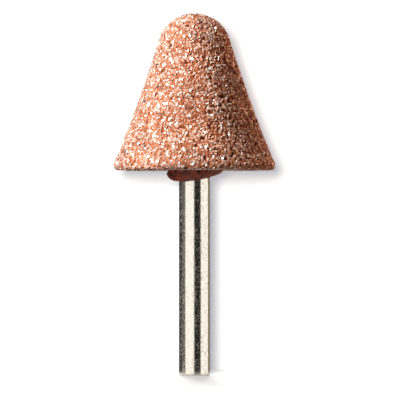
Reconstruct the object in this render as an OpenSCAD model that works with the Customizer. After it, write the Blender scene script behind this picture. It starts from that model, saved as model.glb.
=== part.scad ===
// Mounted point: a bell-shaped abrasive stone cemented on a steel shank.
// The shank stands along Z, with the centre of its free end at the origin and the stone's nose on top.

/* [Abrasive head] */
// Largest diameter of the stone, just above its base
head_d = 16.6; // [13:0.1:20]
// Height of the stone from its flat base to its nose
head_h = 16.1; // [13:0.1:20]
// Radius of the round nose
nose_r = 3.8; // [2.6:0.1:4.5]
// Radius of the hollow sweep of the flank
flank_r = 140; // [80:5:300]
// Radius of the rim around the base
rim_r = 0.45; // [0.2:0.05:0.8]

/* [Shank] */
// Diameter of the shank, as the 1/8 in collet takes it
shank_d = 3.175; // [2.35:0.005:3.2]
// Length from the shank's free end to the base of the stone
shank_l = 21.05; // [16:0.05:40]
// Chamfer on both ends of the rod
end_chamfer = 0.1; // [0.05:0.05:0.4]
// How far the shank keeps its full diameter inside the cement bead
shank_cover = 0.15; // [0:0.05:0.15]
// How much smaller the tang's radius is than the shank's
tang_step = 0.2; // [0.17:0.01:0.4]
// How deep the tang reaches into the stone
tang_l = 10.5; // [7:0.5:11]
// Number of key grooves around the tang
groove_n = 4; // [2:1:5]
// Width of each key groove
groove_w = 0.6; // [0.4:0.1:0.8]
// Depth of each key groove
groove_depth = 0.2; // [0.1:0.05:0.3]

/* [Bonding cement] */
// Thickness of the cement around the tang
film = 0.15; // [0.1:0.05:0.3]
// Thickness of the cement over the tang's tip
tip_film = 0.4; // [0.2:0.1:0.8]
// Radius of the bead that was squeezed out
bead_r = 3.25; // [2.8:0.05:3.8]
// Depth of the bead on its own axis
bead_drop = 1; // [0.8:0.05:1.3]
// Radius of the bead's domed underside
bead_dome_r = 9.1; // [7:0.1:12]
// Radius of the bead's edge
bead_edge_r = 1.2; // [0.8:0.1:1.4]
// Lean of the bead toward its thick side
bead_tilt = 10; // [0:0.5:12]
// Shift of the bead away from its thick side
bead_shift = 0.33; // [0:0.01:0.5]

/* [Hidden] */
$fn = 96;
shank_r = shank_d / 2;
tang_r = shank_r - tang_step;
bore_r = tang_r + film;
bore_l = tang_l + tip_film;

// The flank's arc touches the nose's arc and the rim's arc from outside
rim_c = [head_d / 2 - rim_r, rim_r];
nose_c = [0, head_h - nose_r];
span = norm(rim_c - nose_c);
lean = (rim_c - nose_c) / span;
along = (pow(flank_r + nose_r, 2) - pow(flank_r + rim_r, 2) + span * span) / (2 * span);
aside = sqrt(pow(flank_r + nose_r, 2) - along * along);
flank_c = nose_c + along * lean + aside * [-lean[1], lean[0]];
rim_a = atan2(flank_c[1] - rim_c[1], flank_c[0] - rim_c[0]);
nose_a = atan2(flank_c[1] - nose_c[1], flank_c[0] - nose_c[0]);

// The bead's edge arc touches its dome from inside
dome_z = bead_dome_r - bead_drop;
edge_x = bead_r - bead_edge_r;
edge_a = asin(edge_x / (bead_dome_r - bead_edge_r));
edge_z = dome_z - (bead_dome_r - bead_edge_r) * cos(edge_a);
bead_top = 1.5;

// The full diameter ends just inside the bead's lowest point
bead_low = bead_dome_r - dome_z * cos(bead_tilt);
wall_top = shank_l - bead_low + shank_cover;
groove_pitch = tang_l / (groove_n + 1);

function arc(c, r, from, to, n) =
    [for (i = [0:n]) c + r * [cos(from + (to - from) * i / n), sin(from + (to - from) * i / n)]];

module abrasive_head() {
    color("#cc8f76")
    translate([0, 0, shank_l])
    difference() {
        rotate_extrude()
        polygon(concat(
            [[0, 0]],
            arc(rim_c, rim_r, -90, rim_a, 10),
            arc(flank_c, flank_r, 180 + rim_a, 180 + nose_a, 14),
            arc(nose_c, nose_r, nose_a, 90, 24)
        ));
        translate([0, 0, -1])
        cylinder(r = bore_r, h = bore_l + 1);
    }
}

module shank() {
    color("#b9b8b2")
    difference() {
        rotate_extrude()
        polygon([
            [0, 0],
            [shank_r - end_chamfer, 0],
            [shank_r, end_chamfer],
            [shank_r, wall_top],
            [tang_r, shank_l],
            [tang_r, shank_l + tang_l - end_chamfer],
            [tang_r - end_chamfer, shank_l + tang_l],
            [0, shank_l + tang_l]
        ]);
        for (i = [1:groove_n])
            translate([0, 0, shank_l + i * groove_pitch - groove_w / 2])
            key_groove();
    }
}

module key_groove() {
    difference() {
        cylinder(r = tang_r + 1, h = groove_w);
        translate([0, 0, -1])
        cylinder(r = tang_r - groove_depth, h = groove_w + 2);
    }
}

module bonding_cement() {
    color("#47261c")
    difference() {
        union() {
            translate([0, 0, shank_l])
            cylinder(r = bore_r, h = bore_l);
            bead();
        }
        shank();
    }
}

module bead() {
    intersection() {
        translate([bead_shift, 0, shank_l])
        rotate([0, -bead_tilt, 0])
        rotate_extrude()
        polygon(concat(
            arc([0, dome_z], bead_dome_r, -90, edge_a - 90, 10),
            arc([edge_x, edge_z], bead_edge_r, edge_a - 90, 0, 12),
            [[bead_r, bead_top], [0, bead_top]]
        ));
        translate([0, 0, shank_l - 5])
        cylinder(r = 2 * bead_r, h = 5);
    }
}

abrasive_head();
shank();
bonding_cement();
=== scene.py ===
"""Dresses a mounted point: a bell-shaped grinding stone cemented on a steel shank."""

import math

import bmesh
import bpy
import numpy as np
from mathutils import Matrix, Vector, bvhtree, kdtree, noise


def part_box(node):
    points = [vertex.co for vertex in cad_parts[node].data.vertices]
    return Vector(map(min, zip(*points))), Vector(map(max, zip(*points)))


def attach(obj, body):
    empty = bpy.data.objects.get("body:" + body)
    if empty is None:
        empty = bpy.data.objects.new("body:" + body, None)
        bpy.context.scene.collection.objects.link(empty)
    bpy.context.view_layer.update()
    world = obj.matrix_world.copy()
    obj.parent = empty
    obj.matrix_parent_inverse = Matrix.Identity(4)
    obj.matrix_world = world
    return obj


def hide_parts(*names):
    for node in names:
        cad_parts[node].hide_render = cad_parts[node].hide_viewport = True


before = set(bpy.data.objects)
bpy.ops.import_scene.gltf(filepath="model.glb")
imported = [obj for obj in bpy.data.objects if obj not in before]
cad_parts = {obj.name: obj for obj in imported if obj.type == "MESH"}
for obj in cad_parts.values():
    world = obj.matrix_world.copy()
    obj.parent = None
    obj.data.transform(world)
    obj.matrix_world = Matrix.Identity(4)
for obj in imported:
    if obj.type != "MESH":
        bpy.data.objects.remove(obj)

bl_info = {
    "name": "Mounted Point",
    "version": (1, 0, 0),
    "blender": (4, 5, 0),
    "location": "3D View > Sidebar > Mounted Point",
    "description": "Gives a mounted point its grit, bond, cement, steel and studio",
    "category": "Object",
}

MM = 0.001
BODY = "root"
STONE, SHANK, CEMENT = "abrasive_head", "shank", "bonding_cement"
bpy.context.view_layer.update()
# CAD corners closer than this count as one.
FINE = 0.002 * MM
# Grains: different forms, corners of a form, and stray from an even spread as a share of the spacing.
GRAIN_FORMS = 60
GRAIN_CORNERS = 8
GRAIN_STRAY = 0.32
# Bond: mesh steps to a grain, spread of a pit as a share of a grain, and size of the ripples between.
BOND_STEPS = 2.8
PIT_SPREAD = 0.55
RIPPLE = 0.5 * MM
# Points around the shank and around the bead, and rows down the bead's skin.
SHANK_TURNS = 160
BEAD_TURNS = 160
BEAD_ROWS = 32
# Where the bead's tuck ends, as an angle below the stone's base, and the square root of its least share.
TUCK_END = math.radians(16)
TUCK_LEAST = 0.6
# Stage: distance of the lamps, half widths of the papers, height of the wall, and places along a card.
LAMP_REACH = 0.3
FLOOR_HALF = 0.15
WALL_HALF = 45 * MM
WALL_HEIGHT = 58 * MM
CARD_PLACES = 24


def linear(code):
    """Scene-linear colour of an sRGB hex value."""
    parts = [int(code[i : i + 2], 16) / 255 for i in (1, 3, 5)]
    return tuple(p / 12.92 if p <= 0.04045 else ((p + 0.055) / 1.055) ** 2.4 for p in parts)


def opaque(colour):
    return (*colour[:3], 1.0)


def per(size_mm):
    """Texture scale at which one feature is about size_mm wide."""
    return 1 / (size_mm * MM)


def add_node(tree, kind, inputs=None, stops=(), **settings):
    """Adds a node. An input is a value or the socket that feeds it, and a ramp's stops are pairs."""
    made = tree.nodes.new(kind)
    for name, value in settings.items():
        setattr(made, name, value)
    for name, value in (inputs or {}).items():
        if isinstance(value, bpy.types.NodeSocket):
            tree.links.new(value, made.inputs[name])
        else:
            made.inputs[name].default_value = value
    for i, (position, colour) in enumerate(stops):
        mark = made.color_ramp.elements[i] if i < 2 else made.color_ramp.elements.new(position)
        mark.position = position
        mark.color = opaque(colour)
    return made


def new_material(name):
    """An empty node material and its tree."""
    material = bpy.data.materials.new(name)
    material.use_nodes = True
    material.node_tree.nodes.clear()
    return material, material.node_tree


def new_piece(name, places, faces, material, smooth):
    """A mesh piece of the object, in the part's own frame."""
    mesh = bpy.data.meshes.new(name)
    mesh.from_pydata(places.tolist(), [], faces)
    mesh.polygons.foreach_set("use_smooth", np.full(len(mesh.polygons), smooth))
    mesh.materials.append(material)
    mesh.update()
    piece = bpy.data.objects.new(name, mesh)
    bpy.context.scene.collection.objects.link(piece)
    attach(piece, BODY)
    return piece


class StoneSettings(bpy.types.PropertyGroup):
    """Grit and bond of the stone."""

    grain_size: bpy.props.FloatProperty(
        name="Grain size",
        description="Mean width of an abrasive grain",
        default=0.42 * MM,
        unit="LENGTH",
    )
    grain_spacing: bpy.props.FloatProperty(
        name="Grain spacing",
        description="Mean distance between neighbouring grains",
        default=0.32 * MM,
        unit="LENGTH",
    )
    bond_depth: bpy.props.FloatProperty(
        name="Bond depth",
        description="How far the bond lies below the stone's true outline",
        default=0.1 * MM,
        unit="LENGTH",
    )
    pit_depth: bpy.props.FloatProperty(
        name="Pit depth",
        description="Depth of the pit that a missing grain leaves",
        default=0.35 * MM,
        unit="LENGTH",
    )
    skew: bpy.props.FloatProperty(
        name="Skew",
        description="How far the grains' outer faces lean from the stone's surface",
        default=0.2,
        subtype="FACTOR",
    )
    missing: bpy.props.FloatProperty(
        name="Missing grains",
        description="Share of the grains that have broken out",
        default=0.02,
        subtype="FACTOR",
    )
    seed: bpy.props.IntProperty(
        name="Seed",
        description="Number that fixes the scatter of the grains",
        default=7,
    )
    black_grain: bpy.props.FloatVectorProperty(
        name="Black grains",
        description="Colour of the rare grains that are nearly black",
        default=linear("#341a10"),
        subtype="COLOR",
    )
    dark_grain: bpy.props.FloatVectorProperty(
        name="Dark grains",
        description="Colour of the few dark grains",
        default=linear("#8a4526"),
        subtype="COLOR",
    )
    brown_grain: bpy.props.FloatVectorProperty(
        name="Brown grains",
        description="Colour of the orange-brown grains",
        default=linear("#d88a5c"),
        subtype="COLOR",
    )
    pink_grain: bpy.props.FloatVectorProperty(
        name="Pink grains",
        description="Colour of most grains",
        default=linear("#efc1ac"),
        subtype="COLOR",
    )
    pale_grain: bpy.props.FloatVectorProperty(
        name="Pale grains",
        description="Colour of the palest grains",
        default=linear("#f8e6da"),
        subtype="COLOR",
    )
    bond_colour: bpy.props.FloatVectorProperty(
        name="Bond",
        description="Colour of the fired bond between the grains",
        default=linear("#b8683c"),
        subtype="COLOR",
    )


class CementSettings(bpy.types.PropertyGroup):
    """Bead of cement under the stone."""

    colour: bpy.props.FloatVectorProperty(
        name="Cement",
        description="Colour of the cement",
        default=linear("#a8573f"),
        subtype="COLOR",
    )
    stain: bpy.props.FloatVectorProperty(
        name="Stain",
        description="Colour of the cement's darker patches",
        default=linear("#3c1a16"),
        subtype="COLOR",
    )
    lump_size: bpy.props.FloatProperty(
        name="Lump size",
        description="Mean width of the bead's lumps",
        default=0.9 * MM,
        unit="LENGTH",
    )
    lump_height: bpy.props.FloatProperty(
        name="Lump height",
        description="How far the bead's lumps rise and fall",
        default=0.09 * MM,
        unit="LENGTH",
    )
    tuck: bpy.props.FloatProperty(
        name="Tuck",
        description="How far the bead's thick side draws in where it meets the stone",
        default=0.3 * MM,
        unit="LENGTH",
    )
    sag: bpy.props.FloatProperty(
        name="Sag",
        description="How much lower the bead hangs along the shank on its front",
        default=0.18 * MM,
        unit="LENGTH",
    )


class SteelSettings(bpy.types.PropertyGroup):
    """Drawn steel of the shank."""

    colour: bpy.props.FloatVectorProperty(
        name="Steel",
        description="Colour of the bright steel",
        default=linear("#e2ddd1"),
        subtype="COLOR",
    )
    stain: bpy.props.FloatVectorProperty(
        name="Stain",
        description="Colour of the steel's dull specks",
        default=linear("#d2c8b8"),
        subtype="COLOR",
    )


class StageSettings(bpy.types.PropertyGroup):
    """Camera, lamps, floor and backdrop."""

    view_width: bpy.props.FloatProperty(
        name="View width",
        description="Width of the picture at the shank's axis",
        default=41.1 * MM,
        unit="LENGTH",
    )
    view_centre: bpy.props.FloatVectorProperty(
        name="View centre",
        description="Point of the part's frame in the middle of the picture",
        default=(0.57 * MM, 0.0, 17.97 * MM),
        subtype="TRANSLATION",
    )
    lens: bpy.props.FloatProperty(
        name="Lens",
        description="Focal length in millimetres on a 36 mm sensor",
        default=300.0,
        unit="CAMERA",
    )
    floor_colour: bpy.props.FloatVectorProperty(
        name="Floor",
        description="Colour of the floor and backdrop",
        default=linear("#8a8a8a"),
        subtype="COLOR",
    )
    floor_glow: bpy.props.FloatProperty(
        name="Floor glow",
        description="White that the floor adds for the camera and in reflections",
        default=0.3,
    )
    apron_glow: bpy.props.FloatProperty(
        name="Apron glow",
        description="White that the paper behind the foot adds for the camera and in reflections",
        default=0.5,
    )
    wall_glow: bpy.props.FloatProperty(
        name="Wall glow",
        description="White that the backdrop adds for the camera and in reflections",
        default=0.48,
    )
    wall: bpy.props.FloatProperty(
        name="Wall distance",
        description="Distance of the backdrop behind the shank's axis",
        default=10 * MM,
        unit="LENGTH",
    )


def turned_pairs(node):
    """Each (radius, height) pair among the corners of a turned CAD node, in order of radius."""
    places = np.array([v.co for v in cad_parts[node].data.vertices])
    pairs = np.c_[np.hypot(places[:, 0], places[:, 1]), places[:, 2]]
    return np.unique(np.round(pairs / FINE), axis=0) * FINE


def stone_outline():
    """The CAD stone's (radius, height) outline, from its nose to its bore's mouth, and the bore's top."""
    pairs = turned_pairs(STONE)
    base = pairs[:, 1].min()
    mouth = pairs[pairs[:, 1] < base + FINE, 0].min()
    in_bore = np.abs(pairs[:, 0] - mouth) < 2 * FINE
    bore_top = pairs[in_bore, 1].max()
    outer = pairs[(pairs[:, 0] > mouth + 2 * FINE) | (pairs[:, 1] > bore_top + 2 * FINE)]
    outer = outer[np.argsort(-outer[:, 1])]
    outer[0, 0] = 0.0
    return np.vstack([outer, [[mouth, base]]]), bore_top


def shank_outline():
    """The CAD shank's (radius, height) outline, from the rim of its free end to that of the tang's tip."""
    pairs = turned_pairs(SHANK)
    outline = []
    last = 0.0
    for height in np.unique(pairs[:, 1]):
        radii = pairs[(pairs[:, 1] == height) & (pairs[:, 0] > FINE), 0]
        for radius in sorted(radii, key=lambda r: abs(r - last)):
            outline.append((radius, height))
        last = outline[-1][0]
    return np.array(outline)


def skin(start, rings, end):
    """Places and faces of a closed skin: a point on the axis, rings of equal counts, another point."""
    turns = len(rings[0])
    places = np.vstack([[start], *rings, [end]])
    sides = [(i, (i + 1) % turns) for i in range(turns)]
    faces = [(0, 1 + i, 1 + j) for i, j in sides]
    for top in range(1, 1 + (len(rings) - 1) * turns, turns):
        faces += [(top + i, top + turns + i, top + turns + j, top + j) for i, j in sides]
    last = 1 + (len(rings) - 1) * turns
    faces += [(last + j, last + i, len(places) - 1) for i, j in sides]
    return places, faces


def walk(outline, spacing):
    """Points at about equal spacing along a (radius, height) outline, and the outward normal at each."""
    steps = np.hypot(*np.diff(outline, axis=0).T)
    reach = np.r_[0, np.cumsum(steps)]
    stops = np.linspace(0, reach[-1], int(round(reach[-1] / spacing)) + 1)
    points = np.c_[np.interp(stops, reach, outline[:, 0]), np.interp(stops, reach, outline[:, 1])]
    along = np.gradient(points, axis=0)
    along /= np.hypot(along[:, 0], along[:, 1])[:, None]
    return points, np.c_[-along[:, 1], along[:, 0]]


def turned(pairs, angles):
    """Radius and height pairs as points, each turned about the axis by its angle."""
    return np.c_[pairs[:, 0] * np.cos(angles), pairs[:, 0] * np.sin(angles), pairs[:, 1]]


def grain_places(settings, rng):
    """Where the grains sit on the stone: places, normals, and which of them have broken out."""
    outline, _ = stone_outline()
    row_gap = settings.grain_spacing * math.sqrt(3) / 2
    points, normals = walk(outline, row_gap)
    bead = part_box(CEMENT)
    # The bead hides the base up to its edge, and no grain is needed well inside that.
    hidden = 0.8 * (bead[1].y - bead[0].y) / 2
    base = points[-1, 1]
    rows = []
    for point, normal in zip(points, normals):
        if point[1] < base + row_gap / 4 and point[0] < hidden:
            continue
        count = max(1, round(math.tau * point[0] / settings.grain_spacing))
        angles = (np.arange(count) + rng.uniform(0, 1)) * math.tau / count
        angles += rng.uniform(-GRAIN_STRAY, GRAIN_STRAY, count) * math.tau / count
        slide = rng.uniform(-GRAIN_STRAY, GRAIN_STRAY, count) * row_gap
        tangent = np.array([normal[1], -normal[0]])
        spots = point + slide[:, None] * tangent
        spots[:, 0] = np.abs(spots[:, 0])
        rows.append(np.c_[turned(spots, angles), turned(np.tile(normal, (count, 1)), angles)])
    rows = np.vstack(rows)
    broken = rng.uniform(0, 1, len(rows)) < settings.missing
    return rows[:, :3], rows[:, 3:], broken


def grain_shapes(rng):
    """Crushed-grain forms: hulls of points spread over stretched balls."""
    forms = []
    order = np.arange(GRAIN_CORNERS)
    # The golden spiral spreads the points evenly, and each then strays a little.
    even_tilt = np.arccos(1 - 2 * (order + 0.5) / GRAIN_CORNERS)
    even_turn = order * math.pi * (1 + math.sqrt(5))
    for _ in range(GRAIN_FORMS):
        tilt = even_tilt + rng.normal(0, 0.22, GRAIN_CORNERS)
        turn = even_turn + rng.normal(0, 0.3, GRAIN_CORNERS)
        ball = np.c_[np.cos(turn) * np.sin(tilt), np.sin(turn) * np.sin(tilt), np.cos(tilt)]
        hull = bmesh.new()
        for place in ball:
            hull.verts.new(place)
        bmesh.ops.convex_hull(hull, input=hull.verts)
        bmesh.ops.triangulate(hull, faces=hull.faces)
        hull.verts.index_update()
        faces = np.array([[v.index for v in face.verts] for face in hull.faces])
        places = np.array([v.co for v in hull.verts])
        hull.free()
        stretch = rng.uniform(0.72, 1.2, 3)
        forms.append((places * stretch, faces))
    return forms


def random_turns(rng, count):
    """Rotation matrices spread evenly over all directions."""
    q = rng.normal(0, 1, (count, 4))
    q /= np.linalg.norm(q, axis=1)[:, None]
    w, x, y, z = q.T
    return np.stack([
        np.stack([1 - 2 * (y * y + z * z), 2 * (x * y - z * w), 2 * (x * z + y * w)], -1),
        np.stack([2 * (x * y + z * w), 1 - 2 * (x * x + z * z), 2 * (y * z - x * w)], -1),
        np.stack([2 * (x * z - y * w), 2 * (y * z + x * w), 1 - 2 * (x * x + y * y)], -1),
    ], 1)


def fused_alumina(settings):
    """The material of the grains."""
    # Fused aluminium oxide, crushed: glassy broken facets that flash, on mostly pink grains.
    material, tree = new_material("fused_aluminium_oxide_grain")
    tone = add_node(tree, "ShaderNodeAttribute", attribute_name="grain_tone")
    ramp = add_node(tree, "ShaderNodeValToRGB", {"Fac": tone.outputs["Fac"]}, [
        (0.0, settings.black_grain),
        (0.015, settings.dark_grain),
        (0.16, settings.brown_grain),
        (0.5, settings.pink_grain),
        (0.8, settings.pink_grain),
        (1.0, settings.pale_grain),
    ])
    where = add_node(tree, "ShaderNodeTexCoord")
    # Clouding inside a grain, about a third of its width.
    cloud = add_node(tree, "ShaderNodeTexNoise", {
        "Vector": where.outputs["Object"],
        "Scale": per(0.12),
        "Detail": 3.0,
    })
    shade = add_node(tree, "ShaderNodeMapRange", {
        "Value": cloud.outputs["Fac"],
        "From Min": 0.3,
        "From Max": 0.7,
        "To Min": 0.82,
        "To Max": 1.1,
    })
    # Uneven mixing and firing leave broad patches, about 3 mm across. W sets where they fall.
    patches = add_node(tree, "ShaderNodeTexNoise", {
        "Vector": where.outputs["Object"],
        "Scale": per(3.0),
        "Detail": 1.0,
        "W": 1.0,
    }, noise_dimensions="4D")
    mottle = add_node(tree, "ShaderNodeMapRange", {
        "Value": patches.outputs["Fac"],
        "From Min": 0.35,
        "From Max": 0.65,
        "To Min": 0.78,
        "To Max": 1.12,
    })
    depth = add_node(tree, "ShaderNodeMath", {
        0: shade.outputs["Result"],
        1: mottle.outputs["Result"],
    }, operation="MULTIPLY")
    colour = add_node(tree, "ShaderNodeVectorMath", {
        0: ramp.outputs["Color"],
        1: depth.outputs["Value"],
    }, operation="MULTIPLY")
    rough = add_node(tree, "ShaderNodeMapRange", {
        "Value": cloud.outputs["Fac"],
        "To Min": 0.05,
        "To Max": 0.35,
    })
    shader = add_node(tree, "ShaderNodeBsdfPrincipled", {
        "Base Color": colour.outputs["Vector"],
        "Roughness": rough.outputs["Result"],
        "IOR": 1.77,
        "Coat Weight": 1.0,
        "Coat Roughness": 0.18,
    })
    add_node(tree, "ShaderNodeOutputMaterial", {"Surface": shader.outputs["BSDF"]})
    return material


def fired_bond(settings):
    """The material between the grains."""
    # Vitrified clay bond: a fired, dull brown skin with fine pores, seen in the gaps between the grains.
    material, tree = new_material("vitrified_clay_bond")
    where = add_node(tree, "ShaderNodeTexCoord")
    cloud = add_node(tree, "ShaderNodeTexNoise", {
        "Vector": where.outputs["Object"],
        "Scale": per(0.35),
        "Detail": 4.0,
    })
    ramp = add_node(tree, "ShaderNodeValToRGB", {"Fac": cloud.outputs["Fac"]}, [
        (0.3, settings.dark_grain),
        (0.55, settings.bond_colour),
        (0.75, settings.brown_grain),
    ])
    pores = add_node(tree, "ShaderNodeTexVoronoi", {
        "Vector": where.outputs["Object"],
        "Scale": per(0.15),
    })
    bump = add_node(tree, "ShaderNodeBump", {
        "Height": pores.outputs["Distance"],
        "Strength": 0.6,
        "Distance": 0.05 * MM,
    })
    shader = add_node(tree, "ShaderNodeBsdfPrincipled", {
        "Base Color": ramp.outputs["Color"],
        "Roughness": 0.75,
        "Normal": bump.outputs["Normal"],
    })
    add_node(tree, "ShaderNodeOutputMaterial", {"Surface": shader.outputs["BSDF"]})
    return material


class MOUNTED_POINT_OT_bond(bpy.types.Operator):
    """Add the stone's fired bond, with its pits and its blind bore"""

    bl_idname = "mounted_point.bond"
    bl_label = "Add Bond"

    def execute(self, context):
        settings = context.scene.mounted_point_stone
        rng = np.random.default_rng(settings.seed)
        places, _, broken = grain_places(settings, rng)
        pits = kdtree.KDTree(int(broken.sum()))
        for i, place in enumerate(places[broken]):
            pits.insert(place, i)
        pits.balance()

        outline, bore_top = stone_outline()
        mesh_step = settings.grain_size / BOND_STEPS
        points, normals = walk(outline, mesh_step)
        turns = int(math.tau * outline[:, 0].max() / mesh_step)
        angles = np.arange(turns) * math.tau / turns
        mouth = points[-1, 0]
        rings = [turned(np.tile(point, (turns, 1)), angles) for point in points[1:]]
        outward = [turned(np.tile(normal, (turns, 1)), angles) for normal in normals[1:]]
        depths = [self.depth(ring, settings, pits) for ring in rings]
        # The bore's mouth stays sharp, because the cement fills it.
        depths[-1][:] = 0
        rings = [ring - depth[:, None] * way for ring, depth, way in zip(rings, depths, outward)]
        rings.append(turned(np.tile((mouth, bore_top), (turns, 1)), angles))
        nose = (0, 0, points[0, 1] - settings.bond_depth)
        places, faces = skin(nose, rings, (0, 0, bore_top))
        piece = new_piece("stone_bond", places, faces, fired_bond(settings), True)
        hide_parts(STONE)
        return {"FINISHED"}

    def depth(self, ring, settings, pits):
        """How far each point of a ring lies under the stone's true outline."""
        found = np.empty(len(ring))
        for i, place in enumerate(ring):
            ripple = noise.noise(Vector(place) / RIPPLE)
            _, _, gap = pits.find(place)
            pit = math.exp(-((gap / (PIT_SPREAD * settings.grain_size)) ** 2))
            found[i] = settings.bond_depth * (1 + 0.5 * ripple) + settings.pit_depth * pit
        return found


class MOUNTED_POINT_OT_grit(bpy.types.Operator):
    """Add the stone's abrasive grains, crushed crystals half sunk in the bond"""

    bl_idname = "mounted_point.grit"
    bl_label = "Add Grit"

    def execute(self, context):
        settings = context.scene.mounted_point_stone
        rng = np.random.default_rng(settings.seed)
        spots, normals, broken = grain_places(settings, rng)
        spots, normals = spots[~broken], normals[~broken]
        count = len(spots)
        # Grit is sieved, so sizes spread by about a fifth and none is very small or large.
        radius = settings.grain_size / 2 * np.clip(np.exp(rng.normal(0, 0.2, count)), 0.6, 1.5)
        turns = random_turns(rng, count)
        tone = rng.uniform(0, 1, count)
        sink = radius * rng.uniform(0.35, 0.85, count)
        # The mould leaves each grain blunt, with its outer face a little askew to the stone's surface.
        blunt = normals + rng.normal(0, settings.skew, (count, 3))
        blunt /= np.linalg.norm(blunt, axis=1)[:, None]
        top = rng.uniform(-0.03, 0.04, count) * MM
        forms = grain_shapes(rng)
        kind = rng.integers(0, len(forms), count)

        places, faces, tones = [], [], []
        filled = 0
        for k, (corners, sides) in enumerate(forms):
            mine = kind == k
            shape = np.einsum("nij,cj->nci", turns[mine], corners) * radius[mine, None, None]
            shape -= (normals[mine] * sink[mine, None])[:, None, :]
            height = np.einsum("nci,ni->nc", shape, blunt[mine])
            proud = np.clip(height - top[mine, None], 0, None)
            shape -= proud[:, :, None] * blunt[mine][:, None, :]
            shape += spots[mine][:, None, :]
            starts = filled + np.arange(mine.sum()) * len(corners)
            places.append(shape.reshape(-1, 3))
            faces.append((starts[:, None, None] + sides).reshape(-1, 3))
            tones.append(np.repeat(tone[mine], len(corners)))
            filled += mine.sum() * len(corners)
        places, faces, tones = np.vstack(places), np.vstack(faces), np.concatenate(tones)
        material = fused_alumina(settings)
        piece = new_piece("stone_grit", places, faces.tolist(), material, False)
        attribute = piece.data.attributes.new("grain_tone", "FLOAT", "POINT")
        attribute.data.foreach_set("value", tones.astype(np.float32))
        self.bake_map(piece.data)
        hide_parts(STONE)
        return {"FINISHED"}

    def bake_map(self, mesh):
        """Gives each pair of triangles its own square of the bake's map."""
        # The grains are too many to unwrap. A square's two halves keep clear of each other and its sides.
        order = np.arange(len(mesh.polygons))
        side = math.ceil(math.sqrt(len(order) / 2))
        squares = np.stack([order // 2 % side, order // 2 // side], -1)
        halves = np.array([[(0.1, 0.1), (0.8, 0.1), (0.1, 0.8)], [(0.9, 0.9), (0.2, 0.9), (0.9, 0.2)]])
        spots = (squares[:, None, :] + halves[order % 2]) / side
        layer = mesh.uv_layers.new(name="OFBake")
        layer.uv.foreach_set("vector", spots.astype(np.float32).ravel())


def epoxy_cement(settings):
    """The material of the bead."""
    # Filled epoxy cement, set where it was squeezed out: dark brown, half dull, with clouds and pores.
    material, tree = new_material("filled_epoxy_cement")
    where = add_node(tree, "ShaderNodeTexCoord")
    clouds = add_node(tree, "ShaderNodeTexNoise", {
        "Vector": where.outputs["Object"],
        "Scale": per(0.6),
        "Detail": 5.0,
        "Roughness": 0.6,
    })
    ramp = add_node(tree, "ShaderNodeValToRGB", {"Fac": clouds.outputs["Fac"]}, [
        (0.36, settings.stain),
        (0.6, settings.colour),
    ])
    rough = add_node(tree, "ShaderNodeMapRange", {
        "Value": clouds.outputs["Fac"],
        "To Min": 0.4,
        "To Max": 0.75,
    })
    pores = add_node(tree, "ShaderNodeTexNoise", {
        "Vector": where.outputs["Object"],
        "Scale": per(0.15),
        "Detail": 2.0,
    })
    bump = add_node(tree, "ShaderNodeBump", {
        "Height": pores.outputs["Fac"],
        "Strength": 0.4,
        "Distance": 0.05 * MM,
    })
    shader = add_node(tree, "ShaderNodeBsdfPrincipled", {
        "Base Color": ramp.outputs["Color"],
        "Roughness": rough.outputs["Result"],
        "Specular IOR Level": 0.2,
        "Normal": bump.outputs["Normal"],
    })
    add_node(tree, "ShaderNodeOutputMaterial", {"Surface": shader.outputs["BSDF"]})
    return material


class MOUNTED_POINT_OT_cement(bpy.types.Operator):
    """Add the cement: the lumpy bead under the stone and the sleeve around the tang"""

    bl_idname = "mounted_point.cement"
    bl_label = "Add Cement"

    def execute(self, context):
        settings = context.scene.mounted_point_cement
        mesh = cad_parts[CEMENT].data
        solid = bvhtree.BVHTree.FromPolygons(
            [v.co for v in mesh.vertices], [tuple(face.vertices) for face in mesh.polygons]
        )
        shank = shank_outline()
        outline, bore_top = stone_outline()
        mouth, base = outline[-1]
        wall = shank[:, 0].max()
        tang = shank[shank[:, 1] > base - FINE]
        wall_top = shank[shank[:, 1] < base - FINE][-1, 1]
        angles = np.arange(BEAD_TURNS) * math.tau / BEAD_TURNS
        rings = [turned(np.tile((mouth, z), (BEAD_TURNS, 1)), angles) for z in (bore_top, base)]
        # Rays find the bead's skin: they fan out from where shank and stone meet, from level to down.
        for fall in np.linspace(0, math.pi / 2, BEAD_ROWS):
            rings.append(np.array([self.skin_point(solid, settings, wall, base, a, fall) for a in angles]))
        rings[2][:, 2] = base
        # Inside, the cement follows the shank, from just above the bead's lower edge.
        heights = np.clip(rings[-1][:, 2] + 0.03 * MM, wall_top, base - FINE)
        radii = np.interp(heights, (wall_top, base), (wall, tang[0, 0]))
        rings.append(turned(np.c_[radii, heights], angles))
        for point in tang:
            rings.append(turned(np.tile(point, (BEAD_TURNS, 1)), angles))
        places, faces = skin((0, 0, bore_top), rings, (0, 0, tang[-1, 1]))
        piece = new_piece("cement_bead", places, faces, epoxy_cement(settings), True)
        piece.data.set_sharp_from_angle(angle=math.radians(50))
        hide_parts(CEMENT)
        return {"FINISHED"}

    def skin_point(self, solid, settings, wall, base, angle, fall):
        """The bead's skin in one direction: the solid's own, with lumps, and tucked in under the stone."""
        out = Vector((math.cos(angle), math.sin(angle), 0))
        start = out * (wall + 0.01 * MM) + Vector((0, 0, base - 0.01 * MM))
        way = out * math.cos(fall) - Vector((0, 0, math.sin(fall)))
        hit, _, _, gap = solid.ray_cast(start, way)
        if hit is None:
            raise RuntimeError("The cement's solid has no skin under the stone")
        lump = noise.noise(hit / settings.lump_size) + 0.4 * noise.noise(hit / (0.35 * settings.lump_size))
        tuck = settings.tuck * max(TUCK_LEAST, -math.cos(angle)) ** 2 * max(0.0, 1 - fall / TUCK_END)
        sag = settings.sag * max(0.0, -math.sin(angle)) * math.sin(fall) ** 2
        return start + way * max(0.02 * MM, gap + settings.lump_height * lump + sag - tuck)


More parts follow.
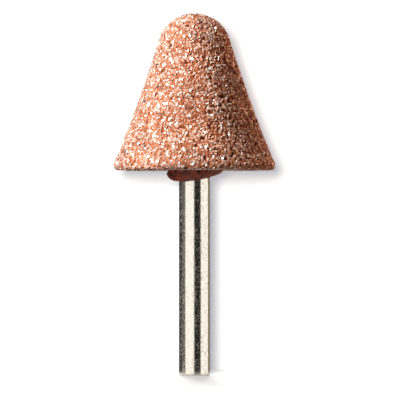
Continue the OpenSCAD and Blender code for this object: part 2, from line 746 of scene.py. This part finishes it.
def drawn_steel(settings):
    """The material of the shank."""
    # Bright drawn steel rod: mirror-like bands, fine lines along the rod and small dull specks.
    material, tree = new_material("bright_drawn_steel")
    where = add_node(tree, "ShaderNodeTexCoord")
    specks = add_node(tree, "ShaderNodeTexNoise", {
        "Vector": where.outputs["Object"],
        "Scale": per(0.25),
        "Detail": 5.0,
        "Roughness": 0.6,
    })
    ramp = add_node(tree, "ShaderNodeValToRGB", {"Fac": specks.outputs["Fac"]}, [
        (0.4, settings.colour),
        (0.72, settings.stain),
    ])
    rough = add_node(tree, "ShaderNodeMapRange", {
        "Value": specks.outputs["Fac"],
        "From Min": 0.3,
        "From Max": 0.7,
        "To Min": 0.1,
        "To Max": 0.26,
    })
    shine = add_node(tree, "ShaderNodeMapRange", {
        "Value": specks.outputs["Fac"],
        "From Min": 0.5,
        "From Max": 0.75,
        "To Min": 1.0,
        "To Max": 0.5,
    })
    stretch = add_node(tree, "ShaderNodeMapping", {
        "Vector": where.outputs["Object"],
        "Scale": (per(0.08), per(0.08), per(1.2)),
    })
    lines = add_node(tree, "ShaderNodeTexNoise", {
        "Vector": stretch.outputs["Vector"],
        "Scale": 1.0,
        "Detail": 2.0,
    })
    drawn = add_node(tree, "ShaderNodeBump", {
        "Height": lines.outputs["Fac"],
        "Strength": 0.3,
        "Distance": 0.01 * MM,
    })
    # Rings of the cut-off tool, 0.16 mm apart. They show on the flat ends alone: the wall has one radius.
    rings = add_node(tree, "ShaderNodeTexWave", {
        "Vector": where.outputs["Object"],
        "Scale": per(0.16) * math.pi / 10,
        "Distortion": 0.4,
    }, wave_type="RINGS", rings_direction="Z")
    bump = add_node(tree, "ShaderNodeBump", {
        "Height": rings.outputs["Fac"],
        "Strength": 0.5,
        "Distance": 0.03 * MM,
        "Normal": drawn.outputs["Normal"],
    })
    shader = add_node(tree, "ShaderNodeBsdfPrincipled", {
        "Base Color": ramp.outputs["Color"],
        "Metallic": shine.outputs["Result"],
        "Roughness": rough.outputs["Result"],
        "Normal": bump.outputs["Normal"],
    })
    add_node(tree, "ShaderNodeOutputMaterial", {"Surface": shader.outputs["BSDF"]})
    return material


class MOUNTED_POINT_OT_shank(bpy.types.Operator):
    """Add the shank, a rod of drawn steel with its tang in the stone"""

    bl_idname = "mounted_point.shank"
    bl_label = "Add Shank"

    def execute(self, context):
        settings = context.scene.mounted_point_steel
        outline = shank_outline()[::-1]
        angles = np.arange(SHANK_TURNS) * math.tau / SHANK_TURNS
        rings = [turned(np.tile(point, (SHANK_TURNS, 1)), angles) for point in outline]
        places, faces = skin((0, 0, outline[0, 1]), rings, (0, 0, outline[-1, 1]))
        piece = new_piece("steel_shank", places, faces, drawn_steel(settings), True)
        piece.data.set_sharp_from_angle(angle=math.radians(30))
        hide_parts(SHANK)
        return {"FINISHED"}


def seen_rays(tree):
    """Socket that is 1 for the rays by which a background is seen: direct, mirrored or through glass."""
    rays = add_node(tree, "ShaderNodeLightPath")
    mirrored = add_node(tree, "ShaderNodeMath", {
        0: rays.outputs["Is Camera Ray"],
        1: rays.outputs["Is Glossy Ray"],
    }, operation="MAXIMUM")
    seen = add_node(tree, "ShaderNodeMath", {
        0: mirrored.outputs["Value"],
        1: rays.outputs["Is Transmission Ray"],
    }, operation="MAXIMUM")
    return seen.outputs["Value"]


def stage_paper(name, colour, glow, tint):
    """The material of a sheet of the stage."""
    # Matt white paper, seen from its front only: no gloss, and its own white added to the lamps' light.
    material, tree = new_material(name)
    shine = add_node(tree, "ShaderNodeMath", {0: seen_rays(tree), 1: glow}, operation="MULTIPLY")
    paper = add_node(tree, "ShaderNodeBsdfPrincipled", {
        "Base Color": opaque(colour),
        "Roughness": 1.0,
        "Specular IOR Level": 0.0,
        "Emission Color": opaque(linear(tint)),
        "Emission Strength": shine.outputs["Value"],
    })
    clear = add_node(tree, "ShaderNodeBsdfTransparent")
    side = add_node(tree, "ShaderNodeNewGeometry")
    mix = add_node(tree, "ShaderNodeMixShader", {
        0: side.outputs["Backfacing"],
        1: paper.outputs["BSDF"],
        2: clear.outputs["BSDF"],
    })
    add_node(tree, "ShaderNodeOutputMaterial", {"Surface": mix.outputs["Shader"]})
    return material


def glowing_card(name, strength, colour):
    """The material of a card around the part."""
    # A lit card, even all over, that shines on its inside only.
    material, tree = new_material(name)
    shine = add_node(tree, "ShaderNodeEmission", {"Color": opaque(linear(colour)), "Strength": strength})
    clear = add_node(tree, "ShaderNodeBsdfTransparent")
    side = add_node(tree, "ShaderNodeNewGeometry")
    mix = add_node(tree, "ShaderNodeMixShader", {
        0: side.outputs["Backfacing"],
        1: shine.outputs["Emission"],
        2: clear.outputs["BSDF"],
    })
    add_node(tree, "ShaderNodeOutputMaterial", {"Surface": mix.outputs["Shader"]})
    return material


class MOUNTED_POINT_OT_stage(bpy.types.Operator):
    """Set the camera, the lamps, the floor and the backdrop"""

    bl_idname = "mounted_point.stage"
    bl_label = "Set Stage"

    def execute(self, context):
        settings = context.scene.mounted_point_stage
        context.scene.view_settings.view_transform = "Standard"
        self.camera(context, settings)
        floor, wall, apron = self.backdrop(settings)
        paper = [floor, wall, apron]
        foot, base, nose = 0.0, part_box(STONE)[0].z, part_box(STONE)[1].z
        # The cards stand close around the shank, and further out around the stone.
        near, far = 5 * MM, 16 * MM
        low, high = (near, foot), (near, base)
        stone = (far, base), (far, nose + 15 * MM)
        roof = stone[1], (2 * MM, nose + 22 * MM)
        under = (near + 1 * MM, base - 9 * MM), (far, base)
        # Each card: its two angles from the camera's direction, its two edges, brightness and colour.
        cards = {
            "left_flag": ((-162, -92), (low, high), 0.05, "#ffffff"),
            "left_edge": ((-92, -61), (low, high), 0.15, "#ffffff"),
            "left_card": ((-61, -2.5), (low, high), 1.36, "#ffffff"),
            "front_flag": ((-2.5, 41), (low, high), 0.02, "#ffffff"),
            "right_card": ((41, 106), (low, high), 1.34, "#ffffff"),
            "right_flag": ((106, 162), (low, high), 0.33, "#dcc0a0"),
            "back_card": ((162, 198), (low, high), 1.1, "#ffffff"),
            "left_stone_flag": ((-178, -110), stone, 0.03, "#ffffff"),
            "right_stone_flag": ((-10, 178), stone, 0.03, "#ffffff"),
            "right_roof": ((-10, 178), roof, 0.03, "#ffffff"),
            "under_flag": ((-178, 178), under, 0.05, "#d09070"),
        }
        for name, (turn, edges, strength, colour) in cards.items():
            self.card(name, turn, edges, glowing_card(name, strength, colour))
        shank = bpy.data.objects["steel_shank"]
        # Each lamp: its angle from the camera's direction, rise, size, power and colour.
        key = self.lamp("key_lamp", -55, 25, 0.1, 1.16, "#ffffff")
        self.link_light(key, [wall, apron, shank], "EXCLUDE")
        # The shank mirrors the cards and not the key lamp, so a lamp of its own lights its dull specks.
        specks = self.lamp("speck_lamp", -58, 15, 0.13, 1.26, "#ffffff")
        specks.visible_glossy = False
        self.link_light(specks, [shank], "INCLUDE")
        top = self.lamp("top_lamp", -72, 68, 0.13, 0.58, "#fff6ea")
        self.link_light(top, [wall, apron], "EXCLUDE")
        edge = self.lamp("edge_lamp", 126, 5, 0.13, 0.95, "#ffc8a4")
        self.link_light(edge, [*paper, shank], "EXCLUDE")
        back = self.lamp("back_lamp", 180, 18, 0.18, 0.8, "#ffffff")
        self.link_light(back, paper, "EXCLUDE")
        # The paper throws no light back, so a weak lamp below stands in for what a floor gives.
        bounce = self.lamp("bounce_lamp", -40, -35, 0.13, 0.2, "#fff0e0")
        self.link_light(bounce, [*paper, shank], "EXCLUDE")
        self.shadow_lamp(paper)
        # Two far lamps give the floor the shank's soft shadow: one from behind toward the camera,
        # and one from the front, away from it.
        self.far_lamp("foot_lamp", floor, shank, power=12.0, spread=16, fall=-52, turn=3.5)
        self.far_lamp("apron_lamp", apron, shank, power=8.33, spread=14, fall=48, turn=-6.5)
        self.world(context)
        return {"FINISHED"}

    def world(self, context):
        """Dim, warm light from all round, and white where camera or reflection sees past the paper."""
        world = bpy.data.worlds.new("studio")
        world.use_nodes = True
        tree = world.node_tree
        tree.nodes.clear()
        seen = seen_rays(tree)
        dim = add_node(tree, "ShaderNodeBackground", {"Color": opaque(linear("#ffa870")), "Strength": 0.07})
        white = add_node(tree, "ShaderNodeBackground", {"Color": (1.0, 1.0, 1.0, 1.0), "Strength": 1.0})
        mix = add_node(tree, "ShaderNodeMixShader", {
            0: seen,
            1: dim.outputs["Background"],
            2: white.outputs["Background"],
        })
        add_node(tree, "ShaderNodeOutputWorld", {"Surface": mix.outputs["Shader"]})
        context.scene.world = world

    def link_light(self, lamp, things, state):
        """Lets a lamp light these things alone, or everything but them."""
        chosen = bpy.data.collections.new(lamp.name + "_links")
        for thing in things:
            chosen.objects.link(thing)
        for item in chosen.collection_objects:
            item.light_linking.link_state = state
        lamp.light_linking.receiver_collection = chosen

    def camera(self, context, settings):
        """A long lens, level with the part and straight in front of it."""
        data = bpy.data.cameras.new("camera")
        data.lens = settings.lens
        camera = bpy.data.objects.new("camera", data)
        distance = settings.view_width * settings.lens / data.sensor_width
        camera.location = Vector(settings.view_centre) - Vector((0, distance, 0))
        camera.rotation_euler = (math.pi / 2, 0, 0)
        data.clip_start = 0.01
        context.scene.collection.objects.link(camera)
        context.scene.camera = camera

    def backdrop(self, settings):
        """Sheets of paper: a floor, a wall behind the part, and an apron over the floor's back half."""
        depth = settings.wall
        # The apron lies just over the floor, and hides it there.
        lift = 0.02 * MM
        # Each sheet: its half width, its two edges as (depth, height), its own white and the tint.
        sheets = {
            "floor": (FLOOR_HALF, [(-FLOOR_HALF, 0.0), (FLOOR_HALF, 0.0)], settings.floor_glow, "#ffffff"),
            "wall": (WALL_HALF, [(depth, 0.0), (depth, WALL_HEIGHT)], settings.wall_glow, "#f2f7ff"),
            "apron": (FLOOR_HALF, [(0.0, lift), (FLOOR_HALF, lift)], settings.apron_glow, "#ffffff"),
        }
        made = {}
        for name, (half, edges, glow, tint) in sheets.items():
            places = np.array([(x, y, z) for y, z in edges for x in (-half, half)])
            paper = stage_paper("white_paper_" + name, settings.floor_colour, glow, tint)
            sheet = self.prop(name, places, [(0, 1, 3, 2)], paper)
            # The paper only shows shadows: it keeps no light from the part and throws none back.
            sheet.visible_diffuse = False
            sheet.visible_shadow = False
            made[name] = sheet
        # The wall is so near that it would fill the reflections, so they see past it.
        made["wall"].visible_glossy = False
        return made.values()

    def card(self, name, turn, edges, material):
        """A curved card that only reflections on the part show. An edge is a (reach, height) pair."""
        angles = np.radians(np.linspace(*turn, CARD_PLACES))
        places = np.array([
            (reach * math.sin(a), -reach * math.cos(a), z) for a in angles for reach, z in edges
        ])
        faces = [(2 * i + 1, 2 * i + 3, 2 * i + 2, 2 * i) for i in range(len(angles) - 1)]
        card = self.prop(name, places, faces, material)
        card.visible_camera = False
        card.visible_diffuse = False
        card.visible_shadow = False

    def prop(self, name, places, faces, material):
        """A thing of the stage, which isn't part of the object."""
        mesh = bpy.data.meshes.new(name)
        mesh.from_pydata(places.tolist(), [], faces)
        mesh.polygons.foreach_set("use_smooth", np.full(len(mesh.polygons), True))
        mesh.materials.append(material)
        made = bpy.data.objects.new(name, mesh)
        bpy.context.scene.collection.objects.link(made)
        return made

    def lamp(self, name, turn, rise, size, power, colour):
        """A square lamp at an angle from the camera and above the floor, aimed at the stone."""
        data = bpy.data.lights.new(name, "AREA")
        data.size = size
        data.energy = power
        data.color = linear(colour)
        lamp = bpy.data.objects.new(name, data)
        a, e = math.radians(turn), math.radians(rise)
        way = Vector((math.sin(a) * math.cos(e), -math.cos(a) * math.cos(e), math.sin(e)))
        low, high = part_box(STONE)
        lamp.location = (low + high) / 2 + LAMP_REACH * way
        lamp.rotation_euler = (-way).to_track_quat("-Z", "Y").to_euler()
        bpy.context.scene.collection.objects.link(lamp)
        return lamp

    def far_lamp(self, name, sheet, shank, power, spread, fall, turn):
        """A far lamp that lights one sheet alone, with the shank's soft shadow on it."""
        data = bpy.data.lights.new(name, "SUN")
        data.energy = power
        data.angle = math.radians(spread)
        lamp = bpy.data.objects.new(name, data)
        lamp.rotation_euler = (math.radians(fall), 0, math.radians(turn))
        bpy.context.scene.collection.objects.link(lamp)
        self.link_light(lamp, [sheet], "INCLUDE")
        blockers = bpy.data.collections.new(name + "_blockers")
        blockers.objects.link(shank)
        lamp.light_linking.blocker_collection = blockers

    def shadow_lamp(self, sheets):
        """A lamp beside the camera that lights the paper alone and throws the part's shadow on it."""
        data = bpy.data.lights.new("shadow_lamp", "AREA")
        data.shape = "DISK"
        data.size = 52 * MM
        data.color = linear("#fffaf2")
        data.energy = 3.4
        lamp = bpy.data.objects.new("shadow_lamp", data)
        lamp.location = bpy.context.scene.camera.location + Vector((-27, 0, 22)) * MM
        lamp.rotation_euler = (math.pi / 2, 0, 0)
        bpy.context.scene.collection.objects.link(lamp)
        self.link_light(lamp, sheets, "INCLUDE")


class MOUNTED_POINT_PT_panel(bpy.types.Panel):
    """Lists the pieces of the mounted point and their settings"""

    bl_idname = "MOUNTED_POINT_PT_panel"
    bl_label = "Mounted Point"
    bl_space_type = "VIEW_3D"
    bl_region_type = "UI"
    bl_category = "Mounted Point"

    def draw(self, context):
        for operator in OPERATORS:
            self.layout.operator(operator.bl_idname)
        for name, group in SETTINGS.items():
            self.layout.label(text=group.__doc__)
            for field in group.__annotations__:
                self.layout.prop(getattr(context.scene, name), field)


SETTINGS = {
    "mounted_point_stone": StoneSettings,
    "mounted_point_cement": CementSettings,
    "mounted_point_steel": SteelSettings,
    "mounted_point_stage": StageSettings,
}
OPERATORS = (
    MOUNTED_POINT_OT_bond,
    MOUNTED_POINT_OT_grit,
    MOUNTED_POINT_OT_cement,
    MOUNTED_POINT_OT_shank,
    MOUNTED_POINT_OT_stage,
)


def register():
    for name, group in SETTINGS.items():
        bpy.utils.register_class(group)
        setattr(bpy.types.Scene, name, bpy.props.PointerProperty(type=group))
    for item in (*OPERATORS, MOUNTED_POINT_PT_panel):
        bpy.utils.register_class(item)


def unregister():
    for item in reversed((*OPERATORS, MOUNTED_POINT_PT_panel)):
        bpy.utils.unregister_class(item)
    for name, group in SETTINGS.items():
        delattr(bpy.types.Scene, name)
        bpy.utils.unregister_class(group)


def main():
    register()
    bpy.ops.mounted_point.bond()
    bpy.ops.mounted_point.grit()
    bpy.ops.mounted_point.cement()
    bpy.ops.mounted_point.shank()
    bpy.ops.mounted_point.stage()


if __name__ == "__main__":
    main()
